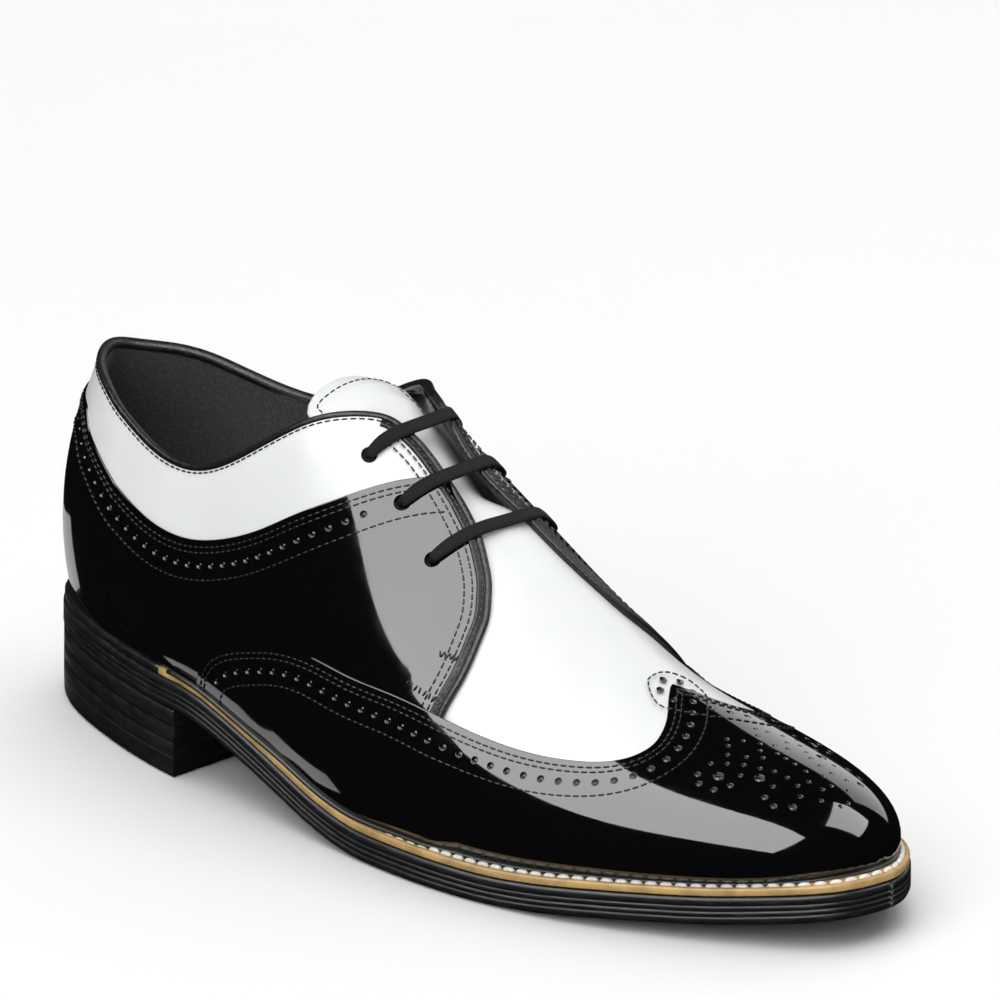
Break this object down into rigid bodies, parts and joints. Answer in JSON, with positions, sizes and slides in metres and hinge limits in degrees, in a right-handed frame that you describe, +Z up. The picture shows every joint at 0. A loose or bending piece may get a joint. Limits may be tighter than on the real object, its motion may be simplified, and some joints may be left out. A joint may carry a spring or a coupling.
{
  "type": "two-tone wing-tip lace-up dress shoe",
  "caption": "Black and white wing-tip lace-up dress shoe for the right foot, open at collar and throat, on a welted sole with a block heel.",
  "frame": {"origin": "on the floor under the middle of the heel block", "axes": "+X to the toe, -Y to the outer side of the foot, +Z up"},
  "size_m": [0.3037, 0.1041, 0.1146],
  "materials": {
    "patent": "black patent, high gloss",
    "white_leather": "smooth white, soft gloss",
    "sole_edge": "black, waxed and burnished",
    "golden_welt": "natural golden, satin",
    "lining": "black, matt, fine texture",
    "braid": "black flat braid"
  },
  "bodies": {
    "root": {"outsole": "sole_edge", "heel": "sole_edge", "welt": "golden_welt", "heel_rand": "sole_edge", "insole": "lining", "upper": "patent", "tongue": "white_leather", "lace": "braid"}
  },
  "joints": []
}
